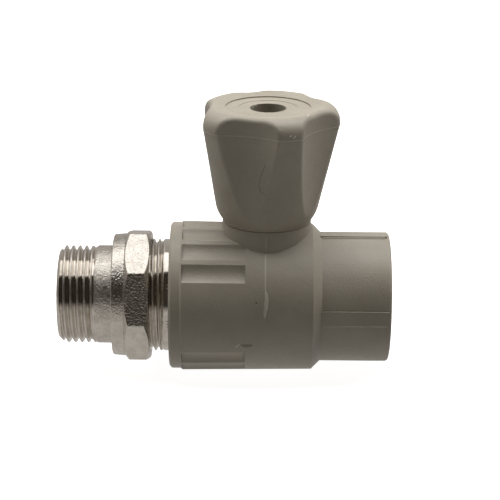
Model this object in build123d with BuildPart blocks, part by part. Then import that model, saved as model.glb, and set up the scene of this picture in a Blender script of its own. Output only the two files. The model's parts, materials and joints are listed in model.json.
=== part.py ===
from build123d import *
import os
from math import cos, radians, sin, sqrt

# Straight radiator ball valve. A plastic body is moulded round a brass ball cartridge. One end is a
# fusion socket for plastic pipe, the other a nickel-plated union with a threaded tail, and a
# five-lobed handle on top turns the ball through a quarter turn.
# Frame: the middle of the socket's mouth is the origin, +X runs out of the socket along the pipe and
# +Z runs up the stem. Everything is in millimetres, with the ball open and the union tight.

# Flow way, ball and seats
way_diameter = 15.0
ball_diameter = 23.6
ball_slot_width = 6.0
ball_slot_web = 1.3
seat_overlap = 0.8
seat_length = 4.5
seat_running_gap = 0.1
seat_side_gap = 0.1
retainer_length = 5.0
retainer_key_width = 2.4
retainer_key_depth = 1.5
thread_gap = 0.1

# Brass cartridge
chamber_gap = 0.2
insert_wall = 3.1
insert_front_wall = 3.0
insert_front_edge = 1.5
anchor_groove_width = 3.0
anchor_groove_depth = 1.0
anchor_groove_inset = 2.5
boss_diameter = 16.0
boss_below_neck = 0.8

# Fusion socket
socket_bore = 24.3
socket_depth = 16.5
socket_floor = 3.0
socket_wall = 5.55
socket_edge = 0.8
rib_width = 4.1
rib_height = 0.3
rib_count = 4

# Moulded body
overmould_gap = 0.02
shell_wall_back = 5.45
shell_wall_front = 4.95
shoulder_lead = 1.55
shoulder_run = 2.4
barrel_back = 23.2
barrel_edge = 0.55
collar_width = 2.9
collar_step = 0.45
collar_edge = 0.6
neck_diameter = 24.0
neck_rise = 1.45
flute_pitch = 18.0
flutes_in_group = 7
flute_width = 5.05
flute_depth = 0.6
flute_stop = 5.6

# Union: the tail's pipe thread drives the sizes of the nut and of the cartridge's union thread
tail_thread = 26.44
tail_thread_length = 10.6
tail_thread_chamfer = 1.2
tail_runout = 1.1
shank_step = 0.23
shank_showing = 4.2
union_step = 2.13
union_showing = 5.35
union_thread_chamfer = 1.0
mouth_wall = 3.15
mouth_lead_in = 0.6
nose_gap = 0.15
nose_length = 4.2
nose_wall = 3.55
nose_edge = 0.5
tail_flange_gap = 1.0
tail_flange_length = 2.4
key_lug_width = 4.0
key_lug_height = 1.6
key_lug_length = 8.0
key_lug_inset = 3.0
key_lug_count = 2
union_ring_section = 1.9
ring_groove_play = 0.4
ring_squeeze_gap = 0.02
nut_length = 10.2
nut_shoulder = 2.6
nut_hole_gap = 0.15
nut_wall = 1.8
nut_sides = 8
nut_corner = 37.0
nut_corner_round = 1.2
nut_collar_length = 3.4
nut_collar_inset = 0.4
nut_collar_taper = 0.25
nut_collar_edge = 0.25
nut_back_cone = 1.4
nut_front_cone = 1.15
nut_front_drop = 1.55

# Stem
stem_bore_gap = 0.1
stem_flange_diameter = 11.6
stem_shoulder = 1.4
stem_flange_length = 1.6
stem_flange_gap = 0.3
stem_above_ball = 0.2
tang_gap = 0.1
tang_length = 9.0
thrust_washer_thickness = 0.8
stem_ring_section = 1.4
stem_ring_first = 1.9
stem_ring_pitch = 2.8
drive_square = 6.0
drive_length = 10.0

# Handle
handle_gap = 0.7
handle_height = 32.8
handle_waist_step = 1.9
handle_waist_rise = 3.8
handle_flare = 6.8
handle_top_round = 4.3
handle_dish = 2.0
lobe_count = 5
grip_radius = 20.0
grip_inset = 0.15
grip_lean = 4.2
grip_round = 1.5
screw_well = 9.7
well_floor = 13.0
drive_fit = 0.1
drive_headroom = 0.5
top_ring = 22.8
top_ring_depth = 0.3
inner_ring = 16.0
inner_ring_depth = 0.1
quarter_turn = 90.0
stop_radius = 9.6
stop_width = 1.8
stop_angle = 16.0
stop_height = 1.7
stop_play = 1.0
stop_side_gap = 0.3
stop_headroom = 0.5

# Handle screw and its washer
screw_thread = 4.0
screw_thread_gap = 0.03
screw_length = 9.0
screw_hole_runout = 1.0
screw_head = 7.4
screw_head_height = 2.6
screw_head_round = 0.8
screw_drive = 4.6
screw_drive_width = 1.2
screw_drive_depth = 1.4
screw_hole_gap = 0.2
screw_washer_diameter = 9.0
screw_washer_thickness = 0.8

# Places along the pipe axis
seat_back = ball_diameter / 2 - seat_overlap
insert_front = seat_back + insert_front_wall
stem_x = -(socket_depth + socket_floor + insert_front)
barrel_front_x = stem_x + insert_front - shoulder_lead
shoulder_x = barrel_front_x + shoulder_run
barrel_back_x = stem_x - barrel_back
body_back_x = barrel_back_x - collar_width
nut_front_x = body_back_x - union_showing
nut_back_x = nut_front_x - nut_length
nut_seat_x = nut_back_x + nut_shoulder
union_face_x = nut_seat_x + tail_flange_length
nose_x = union_face_x + nose_length
tail_thread_x = nut_back_x - shank_showing
tail_end_x = tail_thread_x - tail_thread_length
seat_front = seat_back - seat_length
retainer_back_x = stem_x - seat_back - retainer_length

# Radii round the pipe axis
way_radius = way_diameter / 2
ball_radius = ball_diameter / 2
chamber_radius = ball_radius + chamber_gap
insert_radius = chamber_radius + insert_wall
tail_thread_radius = tail_thread / 2
shank_radius = tail_thread_radius + shank_step
union_radius = tail_thread_radius + union_step
mouth_radius = union_radius - mouth_wall
nose_radius = mouth_radius - nose_gap
tail_bore_radius = nose_radius - nose_wall
nut_bore_radius = union_radius + thread_gap
nut_hole_radius = shank_radius + nut_hole_gap
tail_flange_radius = nut_bore_radius - tail_flange_gap
nut_flat_radius = nut_bore_radius + nut_wall
nut_corner_radius = nut_flat_radius / cos(radians(180 / nut_sides))
socket_bore_radius = socket_bore / 2
socket_radius = socket_bore_radius + socket_wall
barrel_back_radius = insert_radius + shell_wall_back
barrel_front_radius = insert_radius + shell_wall_front
collar_radius = barrel_back_radius - collar_step

# Heights and radii up the stem axis
neck_top = barrel_back_radius + neck_rise
neck_radius = neck_diameter / 2
boss_top = neck_top - boss_below_neck
boss_radius = boss_diameter / 2
stem_diameter = stem_flange_diameter - 2 * stem_shoulder
stem_radius = stem_diameter / 2
stem_bore_radius = stem_radius + stem_bore_gap
stem_flange_z = ball_radius + stem_above_ball
thrust_washer_z = stem_flange_z + stem_flange_length
pocket_roof_z = thrust_washer_z + thrust_washer_thickness
pocket_radius = stem_flange_diameter / 2 + stem_flange_gap
slot_floor_z = way_radius + ball_slot_web
ball_slot_depth = ball_radius - slot_floor_z
handle_z = neck_top + handle_gap
handle_top = handle_z + handle_height
stem_top = handle_z + drive_length
well_z = handle_z + well_floor
screw_head_z = well_z + screw_washer_thickness

# Work planes: sections through the pipe axis and the stem axis, and a floor at the pipe axis
stem_floor = Plane(origin=(stem_x, 0, 0))
stem_axis = Axis((stem_x, 0, 0), (0, 0, 1))


def turned_section(angle):
    """Section plane through the stem axis, turned about it by angle from the pipe axis."""
    turn = radians(angle)
    return Plane(origin=(stem_x, 0, 0), x_dir=(cos(turn), sin(turn), 0), z_dir=(sin(turn), -cos(turn), 0))


stem_section = turned_section(0)

os.makedirs("parts", exist_ok=True)

# Outside of the cartridge, which the plastic is moulded on: two anchor grooves hold it endways
groove_back_x = body_back_x + anchor_groove_inset
groove_front_x = stem_x + insert_front - insert_front_edge - anchor_groove_inset


def cartridge_outline(growth):
    """Half section of the cartridge's outside within the body, made larger all round by growth."""
    outer = insert_radius + growth
    waist = insert_radius - anchor_groove_depth + growth
    front_x = stem_x + insert_front + growth
    Polyline(
        (body_back_x, 0),
        (body_back_x, union_radius + growth),
        (groove_back_x + growth, union_radius + growth),
        (groove_back_x + growth, waist),
        (groove_back_x + anchor_groove_width - growth, waist),
        (groove_back_x + anchor_groove_width - growth, outer),
        (groove_front_x - anchor_groove_width + growth, outer),
        (groove_front_x - anchor_groove_width + growth, waist),
        (groove_front_x - growth, waist),
        (groove_front_x - growth, outer),
        (front_x - insert_front_edge, outer),
        (front_x, outer - insert_front_edge),
        (front_x, 0),
        close=True,
    )


# Body shell: barrel, collar, fusion socket and stem neck, moulded in one piece
barrel_slope = (barrel_front_radius - barrel_back_radius) / (barrel_front_x - barrel_back_x)
flute_cutter = (flute_width**2 / 4 + flute_depth**2) / (2 * flute_depth)
flute_x = stem_x - flute_stop
flute_start_radius = barrel_back_radius + barrel_slope * (flute_x - barrel_back_x)
flute_length = flute_x - barrel_back_x - barrel_edge
flute_chord_drop = flute_start_radius - sqrt(flute_start_radius**2 - flute_width**2 / 4)
flute_centre = flute_start_radius - flute_chord_drop - flute_depth + flute_cutter
flute_angles = [
    side * 90 + (index - (flutes_in_group - 1) / 2) * flute_pitch
    for side in (1, -1)
    for index in range(flutes_in_group)
]

with BuildPart() as body_shell:
    with BuildSketch(Plane.XZ):
        with BuildLine():
            Polyline(
                (body_back_x, 0),
                (body_back_x, collar_radius - collar_edge),
                (body_back_x + collar_edge, collar_radius),
                (barrel_back_x, collar_radius),
                (barrel_back_x + barrel_edge, barrel_back_radius),
                (barrel_front_x, barrel_front_radius),
                (shoulder_x, socket_radius),
                (-socket_edge, socket_radius),
            )
            RadiusArc((-socket_edge, socket_radius), (0, socket_radius - socket_edge), socket_edge)
            Polyline((0, socket_radius - socket_edge), (0, 0), (body_back_x, 0))
        make_face()
    revolve(axis=Axis.X)
    for angle in flute_angles:
        outward = Vector(0, -cos(radians(angle)), sin(radians(angle)))
        along = Vector(-1, 0, 0) - outward * barrel_slope
        with BuildSketch(Plane(Vector(flute_x, 0, 0) + outward * flute_centre, z_dir=along)):
            Circle(flute_cutter)
        extrude(amount=flute_length, mode=Mode.SUBTRACT)
    with BuildSketch(stem_floor):
        Circle(neck_radius)
    extrude(amount=neck_top)
    with BuildSketch(Plane.YZ.offset(barrel_front_x)):
        with PolarLocations(socket_radius - rib_width / 2 + rib_height, rib_count):
            Rectangle(rib_width, rib_width)
    extrude(amount=-barrel_front_x - socket_edge)
    with BuildSketch(Plane.XZ):
        with BuildLine():
            cartridge_outline(overmould_gap)
        make_face()
    revolve(axis=Axis.X, mode=Mode.SUBTRACT)
    with BuildSketch(stem_floor):
        Circle(boss_radius + overmould_gap)
    extrude(amount=neck_top, mode=Mode.SUBTRACT)
    with BuildSketch(Plane.YZ.offset(stem_x)):
        Circle(way_radius)
    extrude(amount=-stem_x, mode=Mode.SUBTRACT)
    with BuildSketch(Plane.YZ):
        Circle(socket_bore_radius)
    extrude(amount=-socket_depth, mode=Mode.SUBTRACT)
    with BuildSketch(turned_section(90 - stop_angle / 2)):
        with Locations((stop_radius, neck_top + stop_height / 2)):
            Rectangle(stop_width, stop_height)
    revolve(axis=stem_axis, revolution_arc=stop_angle)
body_shell.part.label = "body_shell"
export_step(body_shell.part, "parts/body_shell.step")


# Valve insert: the brass cartridge, with the union's thread outside and the ball's chamber inside
with BuildPart() as valve_insert:
    with BuildSketch(Plane.XZ):
        with BuildLine():
            cartridge_outline(0)
        make_face()
        with BuildLine():
            Polyline(
                (body_back_x, 0),
                (union_face_x, 0),
                (union_face_x, union_radius - union_thread_chamfer),
                (union_face_x + union_thread_chamfer, union_radius),
                (body_back_x, union_radius),
                close=True,
            )
        make_face()
    revolve(axis=Axis.X)
    with BuildSketch(stem_floor):
        Circle(boss_radius)
    extrude(amount=boss_top)
    with BuildSketch(Plane.XZ):
        with BuildLine():
            Polyline(
                (union_face_x, 0),
                (union_face_x, mouth_radius + mouth_lead_in),
                (union_face_x + mouth_lead_in, mouth_radius),
                (retainer_back_x, mouth_radius),
                (retainer_back_x, chamber_radius),
                (stem_x + seat_back, chamber_radius),
                (stem_x + seat_back, way_radius),
                (stem_x + insert_front, way_radius),
                (stem_x + insert_front, 0),
                close=True,
            )
        make_face()
    revolve(axis=Axis.X, mode=Mode.SUBTRACT)
    with BuildSketch(stem_floor):
        Circle(pocket_radius)
    extrude(amount=pocket_roof_z, mode=Mode.SUBTRACT)
    with BuildSketch(stem_floor):
        Circle(stem_bore_radius)
    extrude(amount=boss_top, mode=Mode.SUBTRACT)
valve_insert.part.label = "valve_insert"
export_step(valve_insert.part, "parts/valve_insert.step")

# Ball: bored for the flow way, with a slot on top for the stem's tang
with BuildPart() as ball:
    with Locations((stem_x, 0, 0)):
        Sphere(ball_radius)
    with BuildSketch(Plane.YZ.offset(stem_x)):
        Circle(way_radius)
    extrude(amount=ball_diameter, both=True, mode=Mode.SUBTRACT)
    with BuildSketch(stem_floor.offset(slot_floor_z)):
        Rectangle(ball_slot_width, ball_diameter)
    extrude(amount=ball_slot_depth, mode=Mode.SUBTRACT)
ball.part.label = "ball"
export_step(ball.part, "parts/ball.step")

# Ball seats: two plastic rings, each dished to the ball
seat_outer_radius = chamber_radius - seat_side_gap
for side, seat_name in ((1, "ball_seat_socket_side"), (-1, "ball_seat_union_side")):
    with BuildPart() as ball_seat:
        with BuildSketch(Plane.XZ):
            with Locations((stem_x + side * (seat_front + seat_length / 2), way_radius)):
                Rectangle(seat_length, seat_outer_radius - way_radius, align=(Align.CENTER, Align.MIN))
            with Locations((stem_x, 0)):
                Circle(ball_radius + seat_running_gap, mode=Mode.SUBTRACT)
        revolve(axis=Axis.X)
    ball_seat.part.label = seat_name
    export_step(ball_seat.part, f"parts/{seat_name}.step")

# Seat retainer: a screwed ring that clamps the seats and ball, with a key slot across its back
with BuildPart() as seat_retainer:
    with BuildSketch(Plane.YZ.offset(retainer_back_x)):
        Circle(chamber_radius - thread_gap)
        Circle(way_radius, mode=Mode.SUBTRACT)
    extrude(amount=retainer_length)
    with BuildSketch(Plane.YZ.offset(retainer_back_x)):
        Rectangle(2 * chamber_radius, retainer_key_width)
    extrude(amount=retainer_key_depth, mode=Mode.SUBTRACT)
seat_retainer.part.label = "seat_retainer"
export_step(seat_retainer.part, "parts/seat_retainer.step")

# Stem: tang, flange that can't blow out, two ring grooves, and a square tapped for the handle screw
stem_ring_radius = stem_bore_radius - ring_squeeze_gap - stem_ring_section / 2
stem_groove_radius = stem_ring_radius - stem_ring_section / 2 - ring_squeeze_gap
stem_ring_lower_z = pocket_roof_z + stem_ring_first
stem_ring_heights = {
    "stem_o_ring_lower": stem_ring_lower_z,
    "stem_o_ring_upper": stem_ring_lower_z + stem_ring_pitch,
}
screw_tip_z = screw_head_z - screw_length

with BuildPart() as stem:
    with BuildSketch(stem_section):
        with BuildLine():
            Polyline(
                (0, stem_flange_z),
                (stem_flange_diameter / 2, stem_flange_z),
                (stem_flange_diameter / 2, thrust_washer_z),
                (stem_radius, thrust_washer_z),
                (stem_radius, handle_z),
                (0, handle_z),
                close=True,
            )
        make_face()
        for ring_z in stem_ring_heights.values():
            with Locations((stem_groove_radius, ring_z)):
                Rectangle(
                    stem_radius,
                    stem_ring_section + ring_groove_play,
                    align=(Align.MIN, Align.CENTER),
                    mode=Mode.SUBTRACT,
                )
    revolve(axis=stem_axis)
    with BuildSketch(stem_floor.offset(slot_floor_z + tang_gap)):
        Rectangle(ball_slot_width - 2 * tang_gap, tang_length)
    extrude(amount=stem_flange_z - slot_floor_z - tang_gap)
    with BuildSketch(stem_floor.offset(handle_z)):
        Rectangle(drive_square, drive_square)
    extrude(amount=drive_length)
    with BuildSketch(stem_floor.offset(stem_top)):
        Circle(screw_thread / 2 + screw_thread_gap)
    extrude(amount=screw_tip_z - screw_hole_runout - stem_top, mode=Mode.SUBTRACT)
stem.part.label = "stem"
export_step(stem.part, "parts/stem.step")

# Thrust washer: the slippery ring between the stem's flange and the roof of its pocket
with BuildPart() as thrust_washer:
    with BuildSketch(stem_floor.offset(thrust_washer_z)):
        Circle(stem_flange_diameter / 2)
        Circle(stem_bore_radius, mode=Mode.SUBTRACT)
    extrude(amount=thrust_washer_thickness)
thrust_washer.part.label = "thrust_washer"
export_step(thrust_washer.part, "parts/thrust_washer.step")

# Stem rings: two rubber rings in the stem's grooves
for ring_name, ring_z in stem_ring_heights.items():
    with BuildPart() as stem_o_ring:
        with BuildSketch(stem_section):
            with Locations((stem_ring_radius, ring_z)):
                Circle(stem_ring_section / 2)
        revolve(axis=stem_axis)
    stem_o_ring.part.label = ring_name
    export_step(stem_o_ring.part, f"parts/{ring_name}.step")

# Handle: a flared round with five finger flutes, a deep well for its screw and a square below
waist_radius = neck_radius + handle_waist_step
waist_z = handle_z + handle_waist_rise
ring_radius = top_ring / 2
top_ring_z = handle_top - handle_dish - top_ring_depth
valley_radius = waist_radius - grip_inset
stop_slot_angle = quarter_turn + stop_angle + 2 * stop_play
stop_slot_start = 90 - stop_angle / 2 - stop_play
stop_slot_depth = stop_height - handle_gap + stop_headroom

with BuildPart() as finger_flutes:
    for lobe in range(lobe_count):
        bearing = radians((lobe + 0.5) * 360 / lobe_count)
        outward = Vector(cos(bearing), sin(bearing), 0)
        upward = Vector(0, 0, cos(radians(grip_lean))) + outward * sin(radians(grip_lean))
        flute_middle = Vector(stem_x, 0, waist_z) + outward * (valley_radius + grip_radius)
        with BuildSketch(Plane(flute_middle, z_dir=upward)):
            Circle(grip_radius)
        extrude(amount=handle_height, both=True)

with BuildPart() as handle:
    with BuildSketch(stem_section) as handle_half:
        with BuildLine():
            taper = Line((waist_radius, waist_z), (waist_radius + handle_flare, handle_top))
            TangentArc((waist_radius, waist_z), (neck_radius, handle_z), tangent=-(taper % 0))
            Polyline(
                (neck_radius, handle_z),
                (0, handle_z),
                (0, top_ring_z),
                (ring_radius, top_ring_z),
                (ring_radius, top_ring_z + top_ring_depth),
                taper @ 1,
            )
        make_face()
        fillet(handle_half.vertices().sort_by(Axis.X)[-1], radius=handle_top_round)
    revolve(axis=stem_axis)
    add(finger_flutes.part, mode=Mode.SUBTRACT)
    fillet(handle.edges(Select.LAST), radius=grip_round)
    with BuildSketch(stem_floor.offset(top_ring_z)):
        Circle(inner_ring / 2)
    extrude(amount=-inner_ring_depth, mode=Mode.SUBTRACT)
    with BuildSketch(stem_floor.offset(well_z)):
        Circle(screw_well / 2)
    extrude(amount=handle_top - well_z, mode=Mode.SUBTRACT)
    with BuildSketch(stem_floor.offset(handle_z)):
        Circle(screw_thread / 2 + screw_hole_gap)
    extrude(amount=well_floor, mode=Mode.SUBTRACT)
    with BuildSketch(stem_floor.offset(handle_z)):
        Rectangle(drive_square + 2 * drive_fit, drive_square + 2 * drive_fit)
    extrude(amount=drive_length + drive_headroom, mode=Mode.SUBTRACT)
    with BuildSketch(turned_section(stop_slot_start)):
        with Locations((stop_radius, handle_z)):
            Rectangle(stop_width + 2 * stop_side_gap, 2 * stop_slot_depth)
    revolve(axis=stem_axis, revolution_arc=stop_slot_angle, mode=Mode.SUBTRACT)
handle.part.label = "handle"
export_step(handle.part, "parts/handle.step")

# Handle screw: a round head with a cross recess, screwed into the stem
with BuildPart() as handle_screw:
    with BuildSketch(stem_floor.offset(screw_tip_z)):
        Circle(screw_thread / 2)
    extrude(amount=screw_length)
    with BuildSketch(stem_floor.offset(screw_head_z)):
        Circle(screw_head / 2)
    extrude(amount=screw_head_height)
    fillet(handle_screw.edges().group_by(Axis.Z)[-1], radius=screw_head_round)
    with BuildSketch(stem_floor.offset(screw_head_z + screw_head_height)):
        Rectangle(screw_drive, screw_drive_width)
        Rectangle(screw_drive_width, screw_drive)
    extrude(amount=-screw_drive_depth, mode=Mode.SUBTRACT)
handle_screw.part.label = "handle_screw"
export_step(handle_screw.part, "parts/handle_screw.step")

# Screw washer: spreads the screw's load on the floor of the well
with BuildPart() as screw_washer:
    with BuildSketch(stem_floor.offset(well_z)):
        Circle(screw_washer_diameter / 2)
        Circle(screw_thread / 2 + screw_hole_gap, mode=Mode.SUBTRACT)
    extrude(amount=screw_washer_thickness)
screw_washer.part.label = "screw_washer"
export_step(screw_washer.part, "parts/screw_washer.step")

# Union nut: a round collar and an eight-sided grip with rounded corners, turned down to a cone at each end
nut_collar_radius = nut_flat_radius - nut_collar_inset
nut_cone_x = nut_back_x + nut_collar_length

with BuildPart() as union_nut:
    with BuildSketch(Plane.XZ):
        with BuildLine():
            Polyline(
                (nut_back_x, 0),
                (nut_back_x, nut_collar_radius - nut_collar_taper - nut_collar_edge),
                (nut_back_x + nut_collar_edge, nut_collar_radius - nut_collar_taper),
                (nut_cone_x, nut_collar_radius),
                (nut_cone_x + nut_back_cone, nut_corner_radius),
                (nut_front_x - nut_front_cone, nut_corner_radius),
                (nut_front_x, nut_corner_radius - nut_front_drop),
                (nut_front_x, 0),
                close=True,
            )
        make_face()
    revolve(axis=Axis.X)
    with BuildSketch(Plane.YZ.offset(nut_back_x)) as nut_grip:
        RegularPolygon(nut_flat_radius, nut_sides, major_radius=False, rotation=180 - nut_corner)
        fillet(nut_grip.vertices(), radius=nut_corner_round)
    extrude(amount=nut_length, mode=Mode.INTERSECT)
    with BuildSketch(Plane.YZ.offset(nut_back_x)):
        Circle(nut_hole_radius)
    extrude(amount=nut_length, mode=Mode.SUBTRACT)
    with BuildSketch(Plane.YZ.offset(nut_seat_x)):
        Circle(nut_bore_radius)
    extrude(amount=nut_length, mode=Mode.SUBTRACT)
union_nut.part.label = "union_nut"
export_step(union_nut.part, "parts/union_nut.step")

# Tailpiece: pipe thread, plain shank, the flange that the nut pulls on, and a nose with a ring groove
union_ring_x = union_face_x + nose_length / 2
union_ring_radius = mouth_radius - ring_squeeze_gap - union_ring_section / 2
union_groove_radius = union_ring_radius - union_ring_section / 2 - ring_squeeze_gap

with BuildPart() as tailpiece:
    with BuildSketch(Plane.XZ):
        with BuildLine():
            Polyline(
                (tail_end_x, tail_bore_radius),
                (tail_end_x, tail_thread_radius - tail_thread_chamfer),
                (tail_end_x + tail_thread_chamfer, tail_thread_radius),
                (tail_thread_x - tail_runout, tail_thread_radius),
                (tail_thread_x, shank_radius),
                (nut_seat_x, shank_radius),
                (nut_seat_x, tail_flange_radius),
                (union_face_x, tail_flange_radius),
                (union_face_x, nose_radius),
                (nose_x - nose_edge, nose_radius),
                (nose_x, nose_radius - nose_edge),
                (nose_x, tail_bore_radius),
                close=True,
            )
        make_face()
        with Locations((union_ring_x, union_groove_radius)):
            Rectangle(
                union_ring_section + ring_groove_play,
                nose_radius,
                align=(Align.CENTER, Align.MIN),
                mode=Mode.SUBTRACT,
            )
    revolve(axis=Axis.X)
    with BuildSketch(Plane.YZ.offset(tail_end_x + key_lug_inset)):
        with PolarLocations(tail_bore_radius, key_lug_count):
            Rectangle(2 * key_lug_height, key_lug_width)
    extrude(amount=key_lug_length)
tailpiece.part.label = "tailpiece"
export_step(tailpiece.part, "parts/tailpiece.step")

# Union ring: the rubber ring on the tail's nose, which seals in the mouth of the cartridge
with BuildPart() as union_o_ring:
    with BuildSketch(Plane.XZ):
        with Locations((union_ring_x, union_ring_radius)):
            Circle(union_ring_section / 2)
    revolve(axis=Axis.X)
union_o_ring.part.label = "union_o_ring"
export_step(union_o_ring.part, "parts/union_o_ring.step")
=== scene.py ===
# %% [markdown]
# # A union ball valve in grey plastic and nickel
# The solids of the valve arrive as a fixed frame, in metres, with the middle of the pipe socket's mouth
# at the origin, the pipe along X and the stem along Z. This lesson dresses them: it cuts real threads,
# adds the small marks of moulding and handling, and gives every surface a finish made of shader nodes.
# Nothing that is already a solid gets moved.

# %% Load the frame
import json
import math

import bmesh
import bpy
from mathutils import Matrix, Quaternion, Vector
from mathutils.bvhtree import BVHTree


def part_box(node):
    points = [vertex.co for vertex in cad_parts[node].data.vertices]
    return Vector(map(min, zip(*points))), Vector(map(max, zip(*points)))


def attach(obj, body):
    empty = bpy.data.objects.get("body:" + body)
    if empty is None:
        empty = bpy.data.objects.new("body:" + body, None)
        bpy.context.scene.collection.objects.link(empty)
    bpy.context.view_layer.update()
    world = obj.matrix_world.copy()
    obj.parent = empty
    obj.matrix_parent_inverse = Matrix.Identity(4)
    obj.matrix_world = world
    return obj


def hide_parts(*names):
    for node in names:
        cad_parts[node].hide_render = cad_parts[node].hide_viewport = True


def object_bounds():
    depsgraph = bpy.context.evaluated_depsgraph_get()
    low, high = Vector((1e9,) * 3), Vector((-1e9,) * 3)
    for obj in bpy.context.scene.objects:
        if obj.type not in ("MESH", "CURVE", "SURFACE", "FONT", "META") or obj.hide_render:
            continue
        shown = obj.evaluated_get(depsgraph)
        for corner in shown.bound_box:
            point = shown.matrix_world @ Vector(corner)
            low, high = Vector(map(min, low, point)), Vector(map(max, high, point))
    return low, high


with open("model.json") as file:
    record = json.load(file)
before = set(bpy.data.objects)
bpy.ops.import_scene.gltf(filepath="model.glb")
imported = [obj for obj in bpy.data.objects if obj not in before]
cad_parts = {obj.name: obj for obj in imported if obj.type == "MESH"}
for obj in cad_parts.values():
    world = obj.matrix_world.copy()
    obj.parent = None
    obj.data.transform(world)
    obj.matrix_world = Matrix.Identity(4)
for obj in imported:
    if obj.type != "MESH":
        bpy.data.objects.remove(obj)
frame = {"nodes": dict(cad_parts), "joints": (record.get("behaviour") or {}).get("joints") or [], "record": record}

MM = 0.001
cad_low, cad_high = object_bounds()
nodes = frame["nodes"]
joints = {joint["name"]: joint for joint in frame["joints"]}
mounts = {mount["name"]: mount for mount in frame["record"]["mounts"]}
stem_x = joints["handle_turn"]["pos_m"][0]
print("solids:", len(nodes), "box in mm:", [round(side / MM, 1) for side in cad_high - cad_low])

# %% [markdown]
# ## The camera
# The photograph was taken with a long lens from a little above. The slope of the pipe, the ellipses of
# the pipe's ends and the eight-sided nut give the distance and the angles. A camera could be placed by
# hand, but building it from a target point, a distance and two angles keeps every number meaningful.

# %% Camera
PHOTO_SIDE = 500
FOCAL_PIXELS = 1800
SENSOR = 36.0
TARGET_SHIFT = 7.0 * MM
TARGET_HEIGHT = 13.16 * MM
CAMERA_DISTANCE = 491.5 * MM
CAMERA_PITCH = math.radians(18.75)
CAMERA_ROLL = math.radians(0.55)

camera_target = Vector(((cad_low.x + cad_high.x) / 2 + TARGET_SHIFT, 0, TARGET_HEIGHT))
camera = bpy.data.objects.new("camera", bpy.data.cameras.new("camera"))
bpy.context.scene.collection.objects.link(camera)
camera.data.sensor_width = SENSOR
camera.data.lens = SENSOR * FOCAL_PIXELS / PHOTO_SIDE
look = Vector((0, math.cos(CAMERA_PITCH), -math.sin(CAMERA_PITCH)))
camera.location = camera_target - look * CAMERA_DISTANCE
turn = look.to_track_quat("-Z", "Y") @ Quaternion((0, 0, 1), CAMERA_ROLL)
camera.rotation_euler = turn.to_euler()
bpy.context.scene.camera = camera
print("camera at", [round(c / MM) for c in camera.location], "mm, lens", round(camera.data.lens, 1))

# %% [markdown]
# ## Shader helpers
# A finish is a small tree of nodes. These helpers add one node each and join it up, so that each finish
# below reads as a recipe. All patterns use Object coordinates, which stay with the piece when it moves.

# %% Shader helpers
def start_finish(name):
    """A new material, with its node tree and its main shader."""
    finish = bpy.data.materials.new(name)
    finish.use_nodes = True
    tree = finish.node_tree
    return finish, tree, tree.nodes["Principled BSDF"]


def noise(tree, scale, detail=2.0, rough=0.5):
    """Cloudy noise over the piece, with scale features to the metre."""
    node = tree.nodes.new("ShaderNodeTexNoise")
    node.inputs["Scale"].default_value = scale
    node.inputs["Detail"].default_value = detail
    node.inputs["Roughness"].default_value = rough
    place = tree.nodes.new("ShaderNodeTexCoord").outputs["Object"]
    tree.links.new(place, node.inputs["Vector"])
    return node.outputs["Fac"]


def spread(tree, value, low, high, to_low, to_high):
    """Maps value from one range to another, and stops at its ends."""
    node = tree.nodes.new("ShaderNodeMapRange")
    for socket, number in zip(node.inputs[1:5], (low, high, to_low, to_high)):
        socket.default_value = number
    tree.links.new(value, node.inputs[0])
    return node.outputs[0]


def tint(tree, value, stops):
    """A colour ramp between two stops, each a position and a colour."""
    node = tree.nodes.new("ShaderNodeValToRGB")
    for element, (position, colour) in zip(node.color_ramp.elements, stops):
        element.position = position
        element.color = (*colour, 1.0)
    tree.links.new(value, node.inputs["Fac"])
    return node.outputs["Color"]


print("nodes at hand: noise, spread, tint")

# %% [markdown]
# ## From nodes to a surface
# Colour, polish and relief are the three things that a noise can drive on a surface. Cloudy noise seldom
# leaves the range from 0.3 to 0.7, so that range is stretched over the polish from its smoothest to its
# dullest. Relief is a bump here, because the grain of a mould is far finer than any mesh should be.

# %% From nodes to a surface
NOISE_LOW = 0.3
NOISE_HIGH = 0.7


def colour_by(tree, shader, value, stops):
    """Colours the shader along a ramp."""
    tree.links.new(tint(tree, value, stops), shader.inputs["Base Color"])


def polish_by(tree, shader, value, smooth, dull):
    """Lets the shader's roughness follow a noise, from smooth to dull."""
    roughness = spread(tree, value, NOISE_LOW, NOISE_HIGH, smooth, dull)
    tree.links.new(roughness, shader.inputs["Roughness"])


def relief_by(tree, shader, height, depth):
    """Bumps the shader by a noise, with depth in metres."""
    node = tree.nodes.new("ShaderNodeBump")
    node.inputs["Strength"].default_value = 1.0
    node.inputs["Distance"].default_value = depth
    tree.links.new(height, node.inputs["Height"])
    tree.links.new(node.outputs["Normal"], shader.inputs["Normal"])


print("a noise from", NOISE_LOW, "to", NOISE_HIGH, "spans the whole polish")

# %% [markdown]
# ## The light table
# The valve stood on a white table, lit so strongly that hardly a shadow is left on it, yet the metal's
# underside mirrors only a mid grey. A plain white floor would take a shadow, and a truly glowing one
# would light the valve from below. So the table glows for the camera alone.

# %% The light table
FLOOR_SIDE = 6.0
FLOOR_COLOUR = (0.5, 0.5, 0.5, 1.0)
FLOOR_GLOW = 0.93

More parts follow.
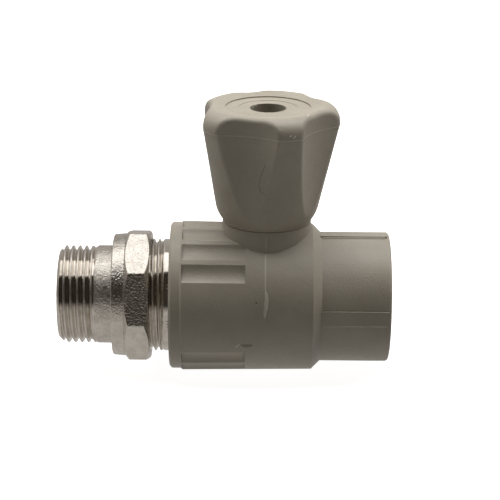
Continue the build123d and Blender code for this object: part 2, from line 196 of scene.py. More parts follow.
floor_mesh = bpy.data.meshes.new("floor")
floor_shape = bmesh.new()
bmesh.ops.create_grid(floor_shape, x_segments=1, y_segments=1, size=FLOOR_SIDE / 2)
bmesh.ops.translate(floor_shape, verts=floor_shape.verts, vec=(stem_x, 0, cad_low.z))
floor_shape.to_mesh(floor_mesh)
floor_shape.free()
floor = bpy.data.objects.new("floor", floor_mesh)
bpy.context.scene.collection.objects.link(floor)
table, _, table_shader = start_finish("light_table")
table_shader.inputs["Base Color"].default_value = FLOOR_COLOUR
table_shader.inputs["Roughness"].default_value = 1.0
table_shader.inputs["Specular IOR Level"].default_value = 0.0
table_shader.inputs["Emission Color"].default_value = (1, 1, 1, 1)
table_shader.inputs["Emission Strength"].default_value = FLOOR_GLOW
floor_mesh.materials.append(table)
floor.visible_diffuse = False
floor.visible_glossy = False
print("floor at", round(cad_low.z / MM, 2), "mm")

# %% [markdown]
# ## The softbox
# One wide softbox hung above the valve. The bright band along the threads tells where it begins and ends,
# so a light with that size and height gives the same bands on the metal. The plastic needs more light
# than the metal could mirror without burning out. So the softbox hangs there twice: one lights the
# plastic and is not mirrored, and a dimmer one just below it is seen in the metal only.

# %% The softbox
SOFTBOX_HEIGHT = 0.6
SOFTBOX_LENGTH = 1.6
SOFTBOX_WIDTH = 0.52
SOFTBOX_RADIANCE = 4.7
SOFTBOX_BACK = 0.14
SOFTBOX_MIRRORED = 1.6
SOFTBOX_MIRRORED_BACK = 0.03
SOFTBOX_MIRRORED_DROP = 0.02


def hang_softbox(name, radiance, back, height):
    """A rectangular area light over the valve, shining straight down."""
    light = bpy.data.objects.new(name, bpy.data.lights.new(name, "AREA"))
    light.data.shape = "RECTANGLE"
    light.data.size = SOFTBOX_LENGTH
    light.data.size_y = SOFTBOX_WIDTH
    light.data.energy = math.pi * radiance * SOFTBOX_LENGTH * SOFTBOX_WIDTH
    light.location = (stem_x, back, height)
    bpy.context.scene.collection.objects.link(light)
    return light


softbox = hang_softbox("softbox", SOFTBOX_RADIANCE, SOFTBOX_BACK, SOFTBOX_HEIGHT)
softbox.visible_glossy = False
mirrored_height = SOFTBOX_HEIGHT - SOFTBOX_MIRRORED_DROP
softbox_image = hang_softbox("softbox_image", SOFTBOX_MIRRORED, SOFTBOX_MIRRORED_BACK, mirrored_height)
softbox_image.visible_diffuse = False
print("softbox power", [round(light.data.energy, 1) for light in (softbox, softbox_image)], "W")

# %% [markdown]
# ## The room
# The metal mirrors the room as well. It is dark in front, where the camera stands, and grey behind, and
# downwards the metal sees the table as a mid grey. A picture of a room could be wrapped round the scene,
# but two soft steps made of nodes, one from front to back and one from above to below, do as well.

# %% The room
ROOM_FRONT = (0.045, 0.038, 0.03)
ROOM_BACK = (0.48, 0.46, 0.44)
ROOM_BELOW = (0.57, 0.55, 0.53)
FRONT_TO_BACK = (-0.25, 0.35)
ABOVE_TO_BELOW = (-0.05, -0.3)


def blend(tree, share, first, second):
    """Mixes a socket's colour with a plain colour, by a share from 0 to 1."""
    node = tree.nodes.new("ShaderNodeMix")
    node.data_type = "RGBA"
    sockets = {socket.identifier: socket for socket in node.inputs}
    tree.links.new(share, sockets["Factor_Float"])
    tree.links.new(first, sockets["A_Color"])
    sockets["B_Color"].default_value = (*second, 1.0)
    return next(socket for socket in node.outputs if socket.identifier == "Result_Color")


world = bpy.data.worlds.new("room")
world.use_nodes = True
bpy.context.scene.world = world
room = world.node_tree
bearing = room.nodes.new("ShaderNodeSeparateXYZ")
room.links.new(room.nodes.new("ShaderNodeTexCoord").outputs["Generated"], bearing.inputs[0])
back_share = spread(room, bearing.outputs["Y"], *FRONT_TO_BACK, 0.0, 1.0)
above = tint(room, back_share, ((0.0, ROOM_FRONT), (1.0, ROOM_BACK)))
down_share = spread(room, bearing.outputs["Z"], *ABOVE_TO_BELOW, 0.0, 1.0)
room_colour = blend(room, down_share, above, ROOM_BELOW)
room.links.new(room_colour, room.nodes["Background"].inputs["Color"])
bpy.context.scene.view_settings.view_transform = "Standard"
print("the room's shader has", len(room.nodes), "nodes")

# %% [markdown]
# ## Grey moulded plastic
# The body and the handle are moulded in the same warm grey. Moulded plastic is never one flat colour:
# the melt leaves slow clouds in it, and the mould's blasted steel leaves a fine grain. The handle's
# mould was blasted differently from the body's, so one recipe makes both, with another grain.

# %% Grey moulded plastic
PLASTIC_DARK = (0.262, 0.236, 0.19)
PLASTIC_LIGHT = (0.302, 0.273, 0.221)
PLASTIC_IOR = 1.49
PLASTIC_WEAR = 0.06
CLOUD_SCALE = 90
WEAR_TO_GRAIN = 3
BODY_GRAIN = 2300
BODY_GRAIN_DEPTH = 0.09 * MM
BODY_ROUGHNESS = 0.42
HANDLE_GRAIN = 2600
HANDLE_GRAIN_DEPTH = 0.1 * MM
HANDLE_ROUGHNESS = 0.46


def moulded_grey(name, grain_scale, grain_depth, roughness):
    """Warm grey plastic with slow clouds of colour and the mould's fine grain."""
    finish, tree, shader = start_finish(name)
    cloud = noise(tree, CLOUD_SCALE, detail=3.0, rough=0.6)
    colour_by(tree, shader, cloud, ((NOISE_LOW, PLASTIC_DARK), (NOISE_HIGH, PLASTIC_LIGHT)))
    wear = noise(tree, grain_scale / WEAR_TO_GRAIN)
    polish_by(tree, shader, wear, roughness - PLASTIC_WEAR, roughness + PLASTIC_WEAR)
    relief_by(tree, shader, noise(tree, grain_scale, detail=3.0, rough=0.6), grain_depth)
    shader.inputs["IOR"].default_value = PLASTIC_IOR
    return finish


body_grey = moulded_grey("body_grey", BODY_GRAIN, BODY_GRAIN_DEPTH, BODY_ROUGHNESS)
handle_grey = moulded_grey("handle_grey", HANDLE_GRAIN, HANDLE_GRAIN_DEPTH, HANDLE_ROUGHNESS)
print("plastic finishes:", body_grey.name, handle_grey.name)

# %% [markdown]
# ## Nickel plate
# The nut and the tail are forged brass, blasted, and then plated with nickel, so they shine through a
# skin of small dimples. The tail's shank is the roughest. The threads were cut after the blasting and stay
# smooth as a mirror, apart from their crests, which handling has dulled. All take the same metal: only
# the dimples and the polish differ.

# %% Nickel plate
NICKEL = (0.64, 0.6, 0.545)
NICKEL_DULL = (0.52, 0.48, 0.43)
STAIN_SCALE = 300
STAIN_STOPS = ((0.35, NICKEL_DULL), (0.6, NICKEL))
HAZE_SCALE = 900
HAZE_CLEAR = 0.8
HAZE_THICK = 1.3
DIMPLE_SCALE = 2000
DIMPLE_DEPTH = 0.17 * MM


def nickel_plate(name, roughness, dimple_share):
    """Nickel on brass, dull in places, with a share of the dimples left by blasting."""
    finish, tree, shader = start_finish(name)
    shader.inputs["Metallic"].default_value = 1.0
    colour_by(tree, shader, noise(tree, STAIN_SCALE, detail=4.0, rough=0.65), STAIN_STOPS)
    haze = noise(tree, HAZE_SCALE, detail=3.0)
    polish_by(tree, shader, haze, roughness * HAZE_CLEAR, roughness * HAZE_THICK)
    relief_by(tree, shader, noise(tree, DIMPLE_SCALE, rough=0.55), dimple_share * DIMPLE_DEPTH)
    return finish


blasted_nickel = nickel_plate("blasted_nickel", roughness=0.22, dimple_share=1.0)
shank_nickel = nickel_plate("shank_nickel", roughness=0.28, dimple_share=1.5)
bright_nickel = nickel_plate("bright_nickel", roughness=0.09, dimple_share=0.02)
worn_nickel = nickel_plate("worn_nickel", roughness=0.34, dimple_share=0.4)
print("metal finishes:", [m.name for m in (blasted_nickel, shank_nickel, bright_nickel, worn_nickel)])

# %% [markdown]
# ## Turned metal
# Inside are a chromed ball, a brass stem and retainer, and a zinc-plated screw. Little of them shows, but
# each still gets a finish. All of them come from the lathe, so they share one recipe: a little haze over
# fine uneven streaks.

# %% Turned metal
LATHE_HAZE_SCALE = 400
LATHE_HAZE_STOPS = (0.35, 0.65)
LATHE_CLEAR = 0.7
LATHE_THICK = 1.4
STREAK_DEPTH = 0.004 * MM


def turned_metal(name, bright, dull, roughness, streak_scale):
    """Metal from the lathe: fine uneven streaks and a little haze."""
    finish, tree, shader = start_finish(name)
    shader.inputs["Metallic"].default_value = 1.0
    haze = noise(tree, LATHE_HAZE_SCALE, detail=3.0)
    colour_by(tree, shader, haze, zip(LATHE_HAZE_STOPS, (dull, bright)))
    polish_by(tree, shader, haze, roughness * LATHE_CLEAR, roughness * LATHE_THICK)
    relief_by(tree, shader, noise(tree, streak_scale), STREAK_DEPTH)
    return finish


chrome = turned_metal("chrome", (0.66, 0.67, 0.68), (0.6, 0.6, 0.61), roughness=0.07, streak_scale=4000)
brass = turned_metal(
    "turned_brass", (0.72, 0.53, 0.25), (0.58, 0.41, 0.18), roughness=0.22, streak_scale=5000
)
zinc = turned_metal(
    "zinc_steel", (0.56, 0.57, 0.58), (0.42, 0.42, 0.43), roughness=0.28, streak_scale=3500
)
print("lathe finishes:", [m.name for m in (chrome, brass, zinc)])

# %% [markdown]
# ## Seats and rubber rings
# The ball turns between white plastic seats, and black rubber rings seal the stem and the union. Both are
# soft and even, with a faint bloom on them. The same recipe serves for the small marks later on.

# %% Seats and rubber rings
BLOOM_SCALE = 700
BLOOM_WEAR = 0.08
SKIN_SCALE = 3000
SKIN_DEPTH = 0.003 * MM


def soft_solid(name, light, dark, roughness):
    """An even soft material with a fine bloom on its surface."""
    finish, tree, shader = start_finish(name)
    bloom = noise(tree, BLOOM_SCALE, detail=3.0)
    colour_by(tree, shader, bloom, ((NOISE_LOW, dark), (NOISE_HIGH, light)))
    polish_by(tree, shader, bloom, roughness - BLOOM_WEAR, roughness + BLOOM_WEAR)
    relief_by(tree, shader, noise(tree, SKIN_SCALE), SKIN_DEPTH)
    return finish


white_seat = soft_solid("white_seat", (0.82, 0.81, 0.77), (0.74, 0.73, 0.69), roughness=0.4)
black_rubber = soft_solid("black_rubber", (0.022, 0.022, 0.022), (0.012, 0.012, 0.012), roughness=0.55)
print("soft finishes:", white_seat.name, black_rubber.name)

# %% [markdown]
# ## Dressing the solids
# Each solid takes the finish of what it is made of on the real valve. Faces could be given finishes one by
# one, but each of these solids is one material all over, so its whole skin takes one finish.

# %% Dressing the solids
node_finish = {
    "body_shell": body_grey,
    "handle": handle_grey,
    "union_nut": blasted_nickel,
    "tailpiece": shank_nickel,
    "valve_insert": blasted_nickel,
    "ball": chrome,
    "stem": brass,
    "seat_retainer": brass,
    "ball_seat_socket_side": white_seat,
    "ball_seat_union_side": white_seat,
    "thrust_washer": white_seat,
    "stem_o_ring_lower": black_rubber,
    "stem_o_ring_upper": black_rubber,
    "union_o_ring": black_rubber,
    "handle_screw": zinc,
    "screw_washer": zinc,
}
for name, finish in node_finish.items():
    if not nodes[name].material_slots:
        nodes[name].data.materials.append(finish)
    for slot in nodes[name].material_slots:
        slot.material = finish
print("dressed solids:", len(node_finish), "of", len(nodes))

# %% [markdown]
# ## Helpers for new pieces
# A new piece starts as a bmesh. When it is done it becomes an object at the origin, with smooth shading
# that breaks at sharp edges, and it rides on the body that carries it on the real valve.

# %% Helpers for new pieces
SHARP_ANGLE = math.radians(32)
SKIN_MERGE = 0.0002 * MM


def skin_of(name):
    """A bmesh with a merged copy of a solid's skin."""
    shape = bmesh.new()
    shape.from_mesh(nodes[name].data)
    bmesh.ops.remove_doubles(shape, verts=shape.verts, dist=SKIN_MERGE)
    return shape


def whole(shape):
    """Every point, edge and face of a bmesh, as a cut wants them."""
    return shape.verts[:] + shape.edges[:] + shape.faces[:]


def shade(shape):
    """Smooth faces, with edges left sharp where the surface really breaks."""
    for face in shape.faces:
        face.smooth = True
    for edge in shape.edges:
        edge.smooth = len(edge.link_faces) == 2 and edge.calc_face_angle(0.0) < SHARP_ANGLE


def finish_piece(shape, name, body, finishes, stands_for=()):
    """Turns a bmesh into a piece that rides on a body."""
    shade(shape)
    mesh = bpy.data.meshes.new(name)
    shape.to_mesh(mesh)
    shape.free()
    for finish in finishes:
        mesh.materials.append(finish)
    piece = bpy.data.objects.new(name, mesh)
    bpy.context.scene.collection.objects.link(piece)
    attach(piece, body)
    if stands_for:
        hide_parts(*stands_for)
    print(name, "rides on", body, "with", len(mesh.polygons), "faces")


print("edges stay sharp from", round(math.degrees(SHARP_ANGLE)), "degrees on")

# %% [markdown]
# ## Winding a thread
# A pipe thread is one V-shaped outline carried round the pipe along a helix. Displacing a fine cylinder
# would give ragged crests, so the outline of a single pitch is spun instead, with a step along the axis
# at every turn of the spin: its edges then follow the crests exactly. Neighbouring turns meet and are
# merged, and bevels round the crests and the roots. Two planes cut the coil to length.

# %% Winding a thread
DEPTH_SHARE = 0.64
THREAD_STEPS = 96
CREST_HALF = 0.11
ROOT_HALF = 0.085
ROUND_SHARE = 0.07
ROUND_SEGMENTS = 2
TURN_MERGE = 0.001 * MM
RIDGE_ANGLE = math.radians(25)
SPARE_BEFORE = 1
SPARE_TURNS = 3


def wind_thread(pitch, major, crest_x, low_x, high_x):
    """A coil of right-handed thread between two planes, with a crest on top at crest_x."""
    root = major - DEPTH_SHARE * pitch
    outline = (
        (-0.5, root),
        (ROOT_HALF - 0.5, root),
        (-CREST_HALF, major),
        (CREST_HALF, major),
        (0.5 - ROOT_HALF, root),
        (0.5, root),
    )
    turns_before = math.ceil((crest_x - low_x) / pitch) + SPARE_BEFORE
    turns = math.ceil((high_x - low_x) / pitch) + SPARE_TURNS
    coil = bmesh.new()
    first_x = crest_x - turns_before * pitch
    corners = [coil.verts.new((first_x + along * pitch, 0, radius)) for along, radius in outline]
    sides = [coil.edges.new(pair) for pair in zip(corners, corners[1:])]
    bmesh.ops.spin(
        coil,
        geom=corners + sides,
        axis=(1, 0, 0),
        dvec=(pitch / THREAD_STEPS, 0, 0),
        angle=math.tau * turns,
        steps=THREAD_STEPS * turns,
    )
    bmesh.ops.remove_doubles(coil, verts=coil.verts, dist=TURN_MERGE)
    ridges = [e for e in coil.edges if len(e.link_faces) == 2 and e.calc_face_angle() > RIDGE_ANGLE]
    bmesh.ops.bevel(
        coil,
        geom=ridges,
        offset=ROUND_SHARE * pitch,
        segments=ROUND_SEGMENTS,
        profile=0.5,
        affect="EDGES",
        material=-1,
    )
    for plane_x, keep_side in ((low_x, 1), (high_x, -1)):
        bmesh.ops.bisect_plane(
            coil,
            geom=whole(coil),
            plane_co=(plane_x, 0, 0),
            plane_no=(keep_side, 0, 0),
            clear_inner=True,
        )
    return coil


print("a thread is", DEPTH_SHARE, "of its pitch deep, with", THREAD_STEPS, "steps to the turn")

# %% [markdown]
# ## The ends of a thread
# A thread starts at a chamfer, which helps the nut on, and runs out where the cutter was drawn away. Both
# ends are cones, so the points of the coil are pulled in or out to them. A cone that crosses long faces
# would look torn, so a few cuts round the coil first give it edges of its own.

# %% The ends of a thread
RING_CUTS = 4


def off_axis(vert):
    """How far a point lies from the pipe's axis."""
    return math.hypot(vert.co.y, vert.co.z)


def ring_cuts(coil, start_x, end_x):
    """Cuts a coil round in a few places, so that a cone across it gets clean edges."""
    for step in range(1, RING_CUTS + 1):
        bmesh.ops.bisect_plane(
            coil,
            geom=whole(coil),
            plane_co=(start_x + (end_x - start_x) * step / RING_CUTS, 0, 0),
            plane_no=(1, 0, 0),
        )


def hold_radius(coil, low_x, end_radius, high_x, land_radius, runout_slope):
    """Pulls a coil in to the chamfer at low_x, and out to the cone that ends the thread at high_x."""
    for vert in coil.verts:
        radius = off_axis(vert)
        chamfer = end_radius + (vert.co.x - low_x)
        cone = land_radius - (high_x - vert.co.x) * runout_slope
        held = min(max(radius, cone), chamfer)
        vert.co.y *= held / radius
        vert.co.z *= held / radius


print("each end of a thread gets", RING_CUTS, "cuts round it")

# %% [markdown]
# ## Threading a solid
# The solid has a plain round outside where its thread belongs. On a copy of its skin that outside is
# taken away, and the coil is put in its place and bridged to the rims, so the piece stays closed. The
# faces along the crests get a finish of their own, because handling dulls them first.

# %% Threading a solid
CREST_WEAR = 0.1
SEAM = 0.02 * MM
CUT_SNAP = 0.0005 * MM
BORE_CLEAR = 0.2 * MM
FLANK_FINISH = 1
CREST_FINISH = 2


def thread_solid(name, pitch, crest_x, low_x, high_x, major, end_radius, land_radius, runout_slope):
    """A copy of a solid's skin whose plain outside, between two planes, gives way to a thread."""
    shape = skin_of(name)
    bmesh.ops.bisect_plane(
        shape, geom=whole(shape), plane_co=(high_x, 0, 0), plane_no=(1, 0, 0), dist=CUT_SNAP
    )
    lowest = end_radius - BORE_CLEAR
    outside = [
        face
        for face in shape.faces
        if all(vert.co.x < high_x + SEAM / 2 and off_axis(vert) > lowest for vert in face.verts)
    ]
    bmesh.ops.delete(shape, geom=outside, context="FACES")
    coil = wind_thread(pitch, major, crest_x, low_x + SEAM, high_x - SEAM)
    ring_cuts(coil, low_x + SEAM, low_x + major - end_radius)
    runout = (land_radius - major + DEPTH_SHARE * pitch) / runout_slope
    ring_cuts(coil, high_x - runout, high_x - SEAM)
    hold_radius(coil, low_x + SEAM, end_radius, high_x - SEAM, land_radius, runout_slope)
    crest_low = major - CREST_WEAR * pitch
    for face in coil.faces:
        on_crest = all(off_axis(vert) > crest_low for vert in face.verts)
        face.material_index = CREST_FINISH if on_crest else FLANK_FINISH
    coil_mesh = bpy.data.meshes.new("coil")
    coil.to_mesh(coil_mesh)
    coil.free()
    shape.from_mesh(coil_mesh)
    bpy.data.meshes.remove(coil_mesh)
    for plane_x in (low_x, high_x):
        rim = [
            edge
            for edge in shape.edges
            if edge.is_boundary and all(abs(vert.co.x - plane_x) < 2 * SEAM for vert in edge.verts)
        ]
        bmesh.ops.bridge_loops(shape, edges=rim)
    bmesh.ops.recalc_face_normals(shape, faces=shape.faces)
    print(name, "threaded, open edges left:", sum(edge.is_boundary for edge in shape.edges))
    return shape


print("worn crests reach down", CREST_WEAR, "of a pitch")

# %% [markdown]
# ## The tail's pipe thread
# This is the three-quarter inch thread that screws into a radiator: fourteen turns to the inch. Its
# open end is chamfered to help it start, and at the shank the cutter was drawn out along a cone.

# %% The tail's pipe thread
TAIL_PITCH = 25.4 * MM / 14
TAIL_CREST_X = -84.6 * MM
TAIL_CREST_GAIN = 0.12 * MM
TAIL_END_RADIUS = 12.02 * MM
SHANK_RADIUS = 13.45 * MM
SHANK_X = -79.35 * MM
TAIL_RUNOUT_SLOPE = 0.6

tail_low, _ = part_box("tailpiece")
tail_major = mounts["tail_thread"]["dims"]["r_mm"] * MM + TAIL_CREST_GAIN
tail_shape = thread_solid(
    "tailpiece", TAIL_PITCH, TAIL_CREST_X, tail_low.x, SHANK_X,
    tail_major, TAIL_END_RADIUS, SHANK_RADIUS, TAIL_RUNOUT_SLOPE,
)
finish_piece(
    tail_shape, "threaded_tail", "tail",
    (shank_nickel, bright_nickel, worn_nickel), ("tailpiece",),
)

# %% [markdown]
# ## The union's thread
# The nut runs on the cartridge that the body is moulded round. Two of its turns show between the nut
# and the body, and more when the nut is screwed back, so the whole length gets its thread.

# %% The union's thread
UNION_PITCH = 1.5 * MM
UNION_CREST_X = -64.2 * MM
UNION_END_DROP = 1.05 * MM
UNION_LAND_X = -61.0 * MM
UNION_RUNOUT_SLOPE = 0.6

insert_low, insert_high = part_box("valve_insert")
union_major = insert_high.y
union_shape = thread_solid(
    "valve_insert", UNION_PITCH, UNION_CREST_X, insert_low.x, UNION_LAND_X,
    union_major, union_major - UNION_END_DROP, union_major, UNION_RUNOUT_SLOPE,
)
finish_piece(
    union_shape, "threaded_cartridge", "valve_body",
    (bright_nickel, bright_nickel, worn_nickel), ("valve_insert",),
)

# %% [markdown]
# ## Finding a place by pixel
# Moulding and handling leave small marks: a line where the halves of the mould met, the scar where the
# melt came in, a scratch, a nick. Their places are read off the photograph. They could be set by eye in
# the viewport, but a ray from the camera through a pixel, followed to the solid that it hits, puts each
# mark on the surface that carries it, so it looks right from every side.

# %% Finding a place by pixel
STATION_SPACING = 2.0
BARREL_FRONT = (250, 300)


def surface_of(name):
    """A search tree of a solid's surface, for rays to be cast at."""
    shape = skin_of(name)
    surface = BVHTree.FromBMesh(shape)
    shape.free()
    return surface


def seen_at(surface, pixel):
    """The point, and the outward normal there, where a ray through a pixel meets a surface."""
    ray = Vector((pixel[0] - PHOTO_SIDE / 2, PHOTO_SIDE / 2 - pixel[1], -FOCAL_PIXELS))
    ray.rotate(turn)
    point, normal, _, _ = surface.ray_cast(camera.location, ray.normalized())
    return point, normal


def stations(path):
    """Pixels along a path, evenly spaced on each of its runs."""
    spots = []
    for start, end in zip(path, path[1:]):
        run = Vector(end) - Vector(start)
        count = math.ceil(run.length / STATION_SPACING)
        spots += [Vector(start) + run * step / count for step in range(count)]
    return spots + [Vector(path[-1])]


body_surface = surface_of("body_shell")
handle_surface = surface_of("handle")
barrel_point, _ = seen_at(body_surface, BARREL_FRONT)
print("the barrel's front is seen at", [round(c / MM, 1) for c in barrel_point], "mm")

# %% [markdown]
# ## Beads and dabs
# A fin of plastic or a scratch is a narrow bead. A ring of points is set up across the path at each
# station, half above the surface and half below it, and neighbouring rings are bridged. A speck is a
# flattened ball, sunk to its waist. Both are closed shapes, so they print and bake like any other piece.

# %% Beads and dabs
BEAD_SIDES = 8
END_TAPER = 0.35
DAB_ROUND = 16


def footing(point, normal, ahead, half_width, height):
    """A matrix at a point of the surface: X across the path, Y out of the surface, Z along the path."""
    side = ahead.cross(normal).normalized()
    axes = Matrix((side * half_width, normal * height, ahead.normalized())).transposed()
    return Matrix.Translation(point) @ axes.to_4x4()


def lay_bead(shape, surface, path, width, height, swell=0.0):
    """Adds a bead along a path of pixels, wider in its middle by swell."""
    spots = [seen_at(surface, pixel) for pixel in stations(path)]
    last = len(spots) - 1
    rings = []
    for index, (point, normal) in enumerate(spots):
        ahead = spots[min(index + 1, last)][0] - spots[max(index - 1, 0)][0]
        taper = END_TAPER if index in (0, last) else 1.0
        half_width = taper * (width + swell * math.sin(math.pi * index / last)) / 2
        ring = bmesh.ops.create_circle(
            shape,
            cap_ends=index in (0, last),
            segments=BEAD_SIDES,
            radius=1.0,
            matrix=footing(point, normal, ahead, half_width, taper * height),
        )
        rings.append(set(ring["verts"]))
    for pair in zip(rings, rings[1:]):
        hoops = {e for ring in pair for v in ring for e in v.link_edges if e.other_vert(v) in ring}
        bmesh.ops.bridge_loops(shape, edges=list(hoops))
    bmesh.ops.recalc_face_normals(shape, faces=shape.faces)


def lay_dab(shape, surface, pixel, length, width, height):
    """Adds a low oval dome at a pixel, with its length along the pipe."""
    point, normal = seen_at(surface, pixel)
    along = Vector((1, 0, 0)) - normal * normal.x
    seat = footing(point, normal, along, width / 2, height)
    stretch = Matrix.Diagonal((1, 1, length / 2, 1))
    bmesh.ops.create_uvsphere(
        shape, u_segments=DAB_ROUND, v_segments=DAB_ROUND // 2, radius=1.0, matrix=seat @ stretch
    )
    bmesh.ops.recalc_face_normals(shape, faces=shape.faces)


print("a bead has", BEAD_SIDES, "sides, a dab", DAB_ROUND)

# %% [markdown]
# ## The flash line on the body
# The two halves of the body's mould met in the plane of the stem. A little melt crept between them and
# left a fin, which runs down the neck and the barrel. Halfway down it was bent over, and below that it
# was pared away so closely that only a faint line is left. Plastic turns pale where it is so thin, and
# paler still where it is bent.

# %% The flash line on the body
FLASH_WIDTH = 0.36 * MM
FLASH_HEIGHT = 0.1 * MM
NECK_FLASH = ((266.0, 236.5), (266.0, 251.0))
NECK_FLASH_WIDTH = 0.8 * FLASH_WIDTH
NECK_FLASH_HEIGHT = 0.5 * FLASH_HEIGHT
BARREL_FLASH = ((265.5, 254.0), (265.3, 291.5))
CURL_EDGE = (
    (265.4, 291.0), (267.3, 295.5), (268.0, 301.5), (267.3, 308.0), (265.7, 313.5), (264.5, 318.5),
)
CURL_EDGE_HEIGHT = 1.7 * FLASH_HEIGHT
CURL_FACE = (
    (265.0, 292.0), (266.2, 297.0), (266.5, 302.0), (266.0, 308.0), (265.0, 313.0), (264.5, 318.0),
)
CURL_SWELL = 2.0 * FLASH_WIDTH
FAINT_FLASH = ((264.5, 319.5), (264.2, 352.0))
FAINT_FLASH_HEIGHT = 0.4 * FLASH_HEIGHT

# Pale plastic for the thin fins; the front rib's edge takes it too, as a painted highlight.
pale_plastic = soft_solid("pale_plastic", (0.43, 0.4, 0.335), (0.37, 0.34, 0.285), roughness=0.45)
flash = bmesh.new()
lay_bead(flash, body_surface, NECK_FLASH, NECK_FLASH_WIDTH, NECK_FLASH_HEIGHT)
lay_bead(flash, body_surface, BARREL_FLASH, FLASH_WIDTH, FLASH_HEIGHT)
lay_bead(flash, body_surface, CURL_EDGE, FLASH_WIDTH, CURL_EDGE_HEIGHT)
lay_bead(flash, body_surface, CURL_FACE, FLASH_WIDTH, FLASH_HEIGHT, swell=CURL_SWELL)
finish_piece(flash, "flash_line", "valve_body", (pale_plastic,))

faint_flash = bmesh.new()
lay_bead(faint_flash, body_surface, FAINT_FLASH, FLASH_WIDTH, FAINT_FLASH_HEIGHT)
finish_piece(faint_flash, "faint_flash_line", "valve_body", (body_grey,))

# %% [markdown]
# ## The shade under the gate scar
# The melt entered the mould through a small gate low on the front. The runner was cut off there and left an
# oval scar, with shade under its lip. A dark bead that swells in its middle paints that shade as a crescent.

# %% The shade under the gate scar
GATE_SHADE_WIDTH = 0.35 * MM
GATE_SHADE_SWELL = 0.85 * MM
GATE_SHADE_HEIGHT = 0.02 * MM
GATE_SHADE_PATH = ((240.8, 345.1), (243.4, 345.9), (246.8, 346.2), (250.2, 345.8), (252.8, 344.9))

# A dark colour: the painted shade under the gate scar's lip, and the line of the scratch on the handle.
shade_and_scratch_dark = soft_solid("shade_and_scratch_dark", (0.17, 0.155, 0.122), (0.14, 0.126, 0.1), roughness=0.5)
gate_shade = bmesh.new()
lay_bead(gate_shade, body_surface, GATE_SHADE_PATH, GATE_SHADE_WIDTH, GATE_SHADE_HEIGHT, swell=GATE_SHADE_SWELL)
finish_piece(gate_shade, "gate_painted_shade", "valve_body", (shade_and_scratch_dark,))

# %% [markdown]
# ## The knife's nick
# Beside the scar the knife slipped and left a short nick, pale because the cut is fresh. It could be
# painted in a texture, but as a thin bead it stays crisp at any distance.

# %% The knife's nick
KNIFE_NICK = ((235.2, 347.7), (239.6, 344.0))
NICK_WIDTH = 0.3 * MM
NICK_HEIGHT = 0.08 * MM

fresh_cut = soft_solid("fresh_cut", (0.64, 0.61, 0.53), (0.56, 0.53, 0.46), roughness=0.4)
nick = bmesh.new()
lay_bead(nick, body_surface, KNIFE_NICK, NICK_WIDTH, NICK_HEIGHT)
finish_piece(nick, "knife_nick", "valve_body", (fresh_cut,))

# %% [markdown]
# ## The ribs of the socket
# The lower edge of the front rib on the socket catches the light, and a thin pale bead paints that highlight
# along it. At the foot of the top rib the mould had a small radius, so a bead of the body's own plastic fills
# the corner and takes the hard shadow away.

# %% The ribs of the socket
RIB_HIGHLIGHT = ((322.4, 326.6), (388.4, 326.9))
RIB_HIGHLIGHT_WIDTH = 0.24 * MM
RIB_HIGHLIGHT_HEIGHT = 0.04 * MM
RIB_FOOT = ((321.6, 238.2), (386.2, 238.5))
RIB_FOOT_WIDTH = 0.9 * MM
RIB_FOOT_HEIGHT = 0.25 * MM

# A pale bead along the lower edge of the front rib: a painted highlight.
rib_highlight = bmesh.new()
lay_bead(rib_highlight, body_surface, RIB_HIGHLIGHT, RIB_HIGHLIGHT_WIDTH, RIB_HIGHLIGHT_HEIGHT)
finish_piece(rib_highlight, "rib_edge_painted_highlight", "valve_body", (pale_plastic,))

rib_foot = bmesh.new()
lay_bead(rib_foot, body_surface, RIB_FOOT, RIB_FOOT_WIDTH, RIB_FOOT_HEIGHT)
finish_piece(rib_foot, "top_rib_radius", "valve_body", (body_grey,))

# %% [markdown]
# ## A grain of pigment
# A grain of dark pigment that didn't melt into the plastic sits left of the flash line. It is one dab.

# %% A grain of pigment
PIGMENT_GRAIN = (256.4, 303.0)
GRAIN_LENGTH = 0.5 * MM
GRAIN_WIDTH = 0.42 * MM
GRAIN_HEIGHT = 0.03 * MM

dark_mark = soft_solid("dark_mark", (0.07, 0.062, 0.05), (0.04, 0.036, 0.03), roughness=0.6)
grain = bmesh.new()
lay_dab(grain, body_surface, PIGMENT_GRAIN, GRAIN_LENGTH, GRAIN_WIDTH, GRAIN_HEIGHT)
finish_piece(grain, "pigment_grain", "valve_body", (dark_mark,))

# %% [markdown]
# ## The hem of the handle
# The handle's skirt comes down almost to the neck, so that only a fine joint shows. The hem is a ring with
# its lower edge rounded, spun about the stem. It leaves room for the handle to turn.

# %% The hem of the handle
HEM_RADIUS = 11.98 * MM
HEM_THICKNESS = 1.0 * MM
HEM_DROP = 0.6 * MM
HEM_OVERLAP = 0.2 * MM
HEM_ROUND = 0.15 * MM
HEM_ROUND_SEGMENTS = 3
HEM_STEPS = 128

handle_low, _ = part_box("handle")
hem = bmesh.new()
hem_profile = [
    hem.verts.new((stem_x + radius, 0, height))
    for radius, height in (
        (HEM_RADIUS - HEM_THICKNESS, handle_low.z - HEM_DROP),
        (HEM_RADIUS, handle_low.z - HEM_DROP),
        (HEM_RADIUS, handle_low.z + HEM_OVERLAP),
        (HEM_RADIUS - HEM_THICKNESS, handle_low.z + HEM_OVERLAP),
    )
]
hem_sides = [hem.edges.new(pair) for pair in zip(hem_profile, hem_profile[1:] + hem_profile[:1])]
bmesh.ops.spin(
    hem,
    geom=hem_profile + hem_sides,
    cent=(stem_x, 0, 0),
    axis=(0, 0, 1),
    angle=math.tau,
    steps=HEM_STEPS,
    use_merge=True,
)
hem_rim = [
    edge
    for edge in hem.edges
    if all(
        vert.co.z < handle_low.z and math.hypot(vert.co.x - stem_x, vert.co.y) > HEM_RADIUS - SEAM
        for vert in edge.verts
    )
]
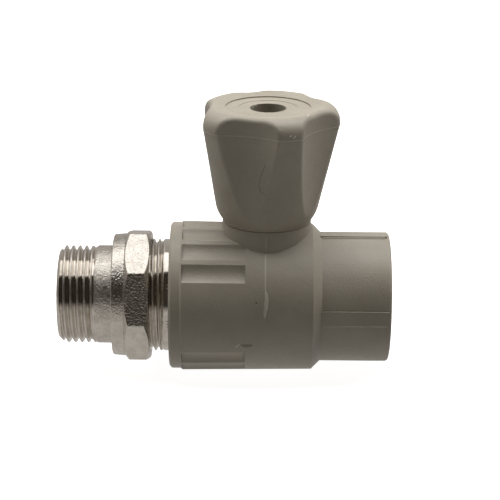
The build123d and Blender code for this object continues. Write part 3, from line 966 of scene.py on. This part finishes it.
bmesh.ops.bevel(
    hem,
    geom=hem_rim,
    offset=HEM_ROUND,
    segments=HEM_ROUND_SEGMENTS,
    profile=0.5,
    affect="EDGES",
    material=-1,
)
bmesh.ops.recalc_face_normals(hem, faces=hem.faces)
print("hem, open edges left:", sum(edge.is_boundary for edge in hem.edges))
finish_piece(hem, "handle_hem", "spindle", (handle_grey,))

# %% [markdown]
# ## The parting line round the handle
# The handle's mould opened upwards, and its halves met a little below the crown. The line is a narrow
# band of the handle's own skin: two planes cut it out of a copy, its points are lifted a few hundredths
# of a millimetre, and solidify gives it a thickness that reaches down into the plastic.

# %% The parting line round the handle
PARTING_Z = 49.0 * MM
PARTING_WIDTH = 0.19 * MM
PARTING_LIFT = 0.045 * MM
WELL_CLEAR = 8.0 * MM

band = skin_of("handle")
for keep_side in (1, -1):
    bmesh.ops.bisect_plane(
        band,
        geom=whole(band),
        plane_co=(0, 0, PARTING_Z - keep_side * PARTING_WIDTH / 2),
        plane_no=(0, 0, keep_side),
        clear_inner=True,
    )
stem_line = Vector((stem_x, 0))
well_wall = [face for face in band.faces if (face.calc_center_median().xy - stem_line).length < WELL_CLEAR]
bmesh.ops.delete(band, geom=well_wall, context="FACES")
for vert in band.verts:
    vert.co += vert.normal * PARTING_LIFT
bmesh.ops.solidify(band, geom=band.faces[:], thickness=2 * PARTING_LIFT)
bmesh.ops.recalc_face_normals(band, faces=band.faces)
finish_piece(band, "handle_parting_line", "spindle", (pale_plastic,))

# %% [markdown]
# ## Scratches and nicks on the handle
# A fingernail scratch curls down the front flute. The crown has three pale nicks, and two crumbs of flash
# are left on the rim of the screw's well. They are beads and dabs like those on the body, but they ride on
# the spindle, so they turn with the handle.

# %% Scratches and nicks on the handle
SCRATCH = ((265.4, 164.8), (260.4, 177.6), (258.7, 185.4), (260.4, 192.1), (265.9, 195.5))
SCRATCH_WIDTH = 0.2 * MM
SCRATCH_HEIGHT = 0.02 * MM
CROWN_NICKS = (
    ((289.9, 137.4), (291.5, 135.2)),
    ((293.0, 139.0), (295.8, 136.1)),
    ((306.8, 116.3), (309.6, 114.3)),
)
WELL_CRUMBS = ((253.0, 107.2), (255.6, 105.8))
CRUMB_LENGTH = 0.7 * MM
CRUMB_WIDTH = 0.45 * MM
CRUMB_HEIGHT = 0.12 * MM

scratch = bmesh.new()
lay_bead(scratch, handle_surface, SCRATCH, SCRATCH_WIDTH, SCRATCH_HEIGHT)
finish_piece(scratch, "handle_scratch", "spindle", (shade_and_scratch_dark,))

crown_nicks = bmesh.new()
for path in CROWN_NICKS:
    lay_bead(crown_nicks, handle_surface, path, NICK_WIDTH, NICK_HEIGHT)
finish_piece(crown_nicks, "crown_nicks", "spindle", (fresh_cut,))

crumbs = bmesh.new()
for pixel in WELL_CRUMBS:
    lay_dab(crumbs, handle_surface, pixel, CRUMB_LENGTH, CRUMB_WIDTH, CRUMB_HEIGHT)
finish_piece(crumbs, "well_crumbs", "spindle", (fresh_cut,))
